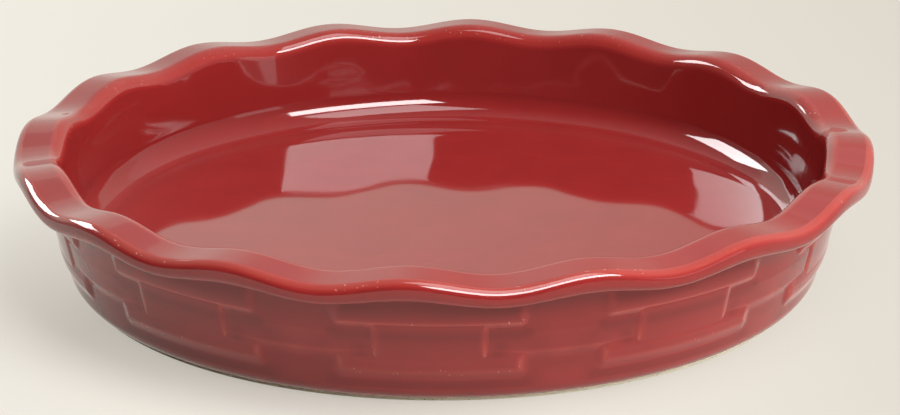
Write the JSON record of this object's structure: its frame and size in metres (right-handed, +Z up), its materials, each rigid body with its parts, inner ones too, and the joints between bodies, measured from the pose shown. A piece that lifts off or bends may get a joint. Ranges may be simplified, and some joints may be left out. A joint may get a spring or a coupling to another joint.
{
  "type": "tart dish",
  "caption": "Round stoneware tart dish with a rippled flange rim, a steep wall with a basket-weave relief, a glossy red glaze and a bare foot ring.",
  "frame": {"origin": "centre of the foot ring, on the surface that the dish stands on", "axes": "+Z up through the middle of the dish; -Y is the side that faces the viewer, with the middle of a weave strip on it"},
  "size_m": [0.28, 0.28, 0.0454],
  "materials": {
    "stoneware": "bare fired clay, matt, cream",
    "red_glaze": "glossy brick-red glaze"
  },
  "bodies": {
    "root": {"stoneware_body": "stoneware", "inner_glaze": "red_glaze", "outer_glaze": "red_glaze", "base_glaze": "red_glaze"}
  },
  "joints": []
}
